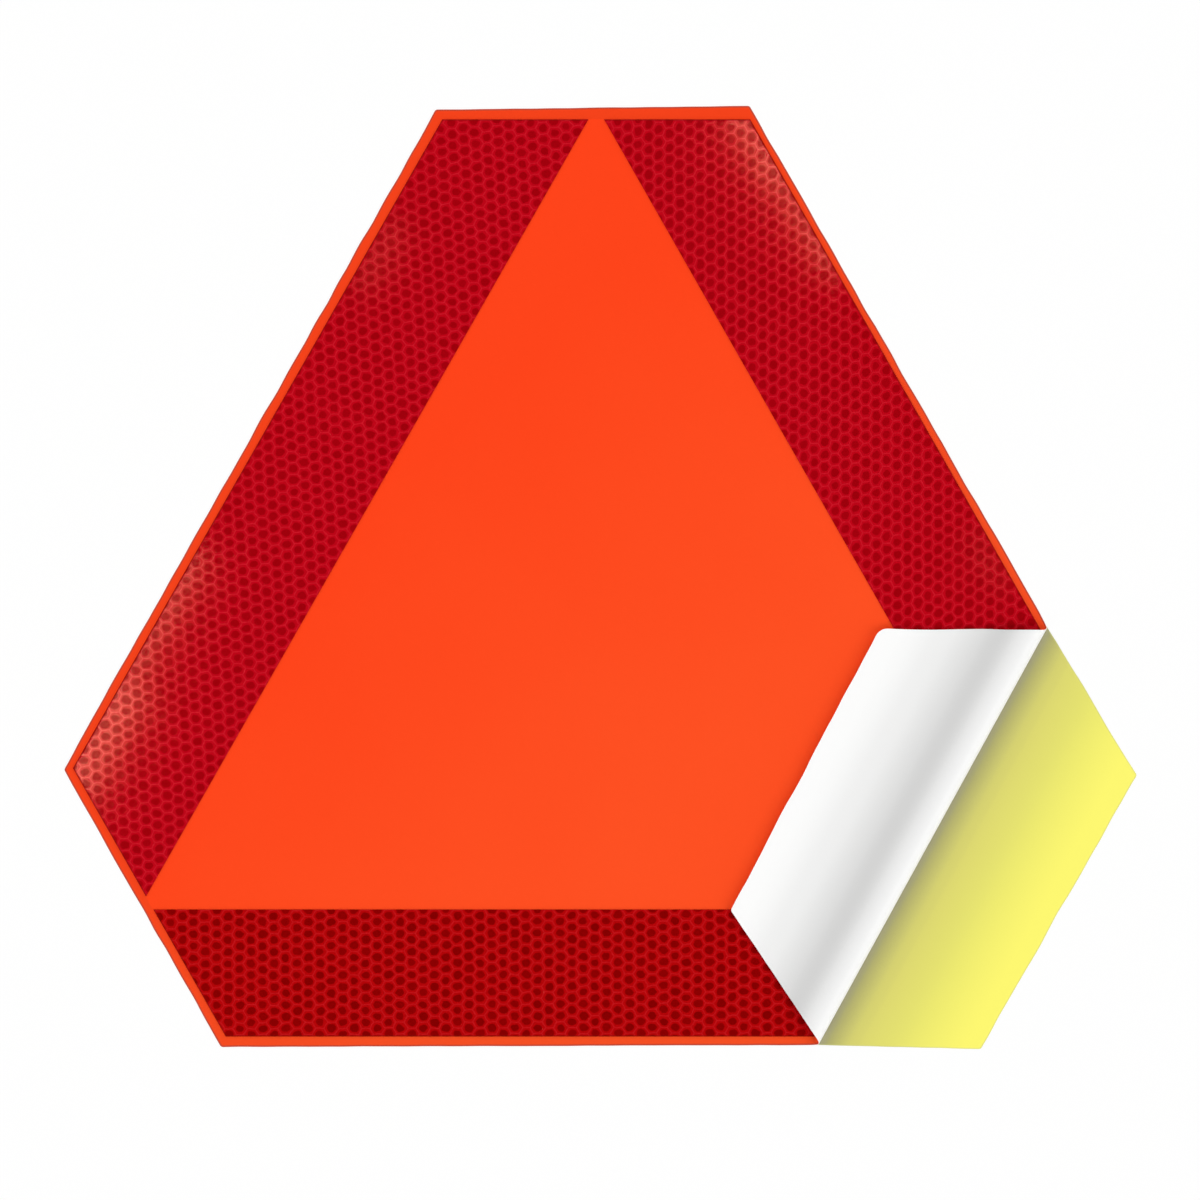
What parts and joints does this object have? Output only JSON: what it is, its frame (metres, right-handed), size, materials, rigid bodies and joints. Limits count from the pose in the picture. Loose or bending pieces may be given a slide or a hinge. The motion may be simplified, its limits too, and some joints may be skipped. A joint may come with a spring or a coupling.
{
  "type": "slow moving vehicle sign decal",
  "caption": "Self-adhesive slow moving vehicle sign on its release liner: orange triangle, red honeycomb strips along the sides, one corner peeled and folded back.",
  "frame": {"origin": "centre of the orange triangle, on the back face of the release liner", "axes": "+Z out of the sign's face, +Y towards the sign's narrow top edge, +X along its wide bottom edge towards the peeled corner"},
  "size_m": [0.4121, 0.3623, 0.0047],
  "materials": {
    "release_liner": "pale yellow, smooth release coat",
    "white_backing": "white, satin",
    "orange_film": "fluorescent orange, matte",
    "red_strip": "red retroreflective sheeting with a honeycomb pattern, glossy"
  },
  "bodies": {
    "root": {"release_liner": "release_liner", "white_backing": "white_backing", "orange_film": "orange_film", "left_strip": "red_strip", "right_strip": "red_strip", "bottom_strip": "red_strip"}
  },
  "joints": []
}
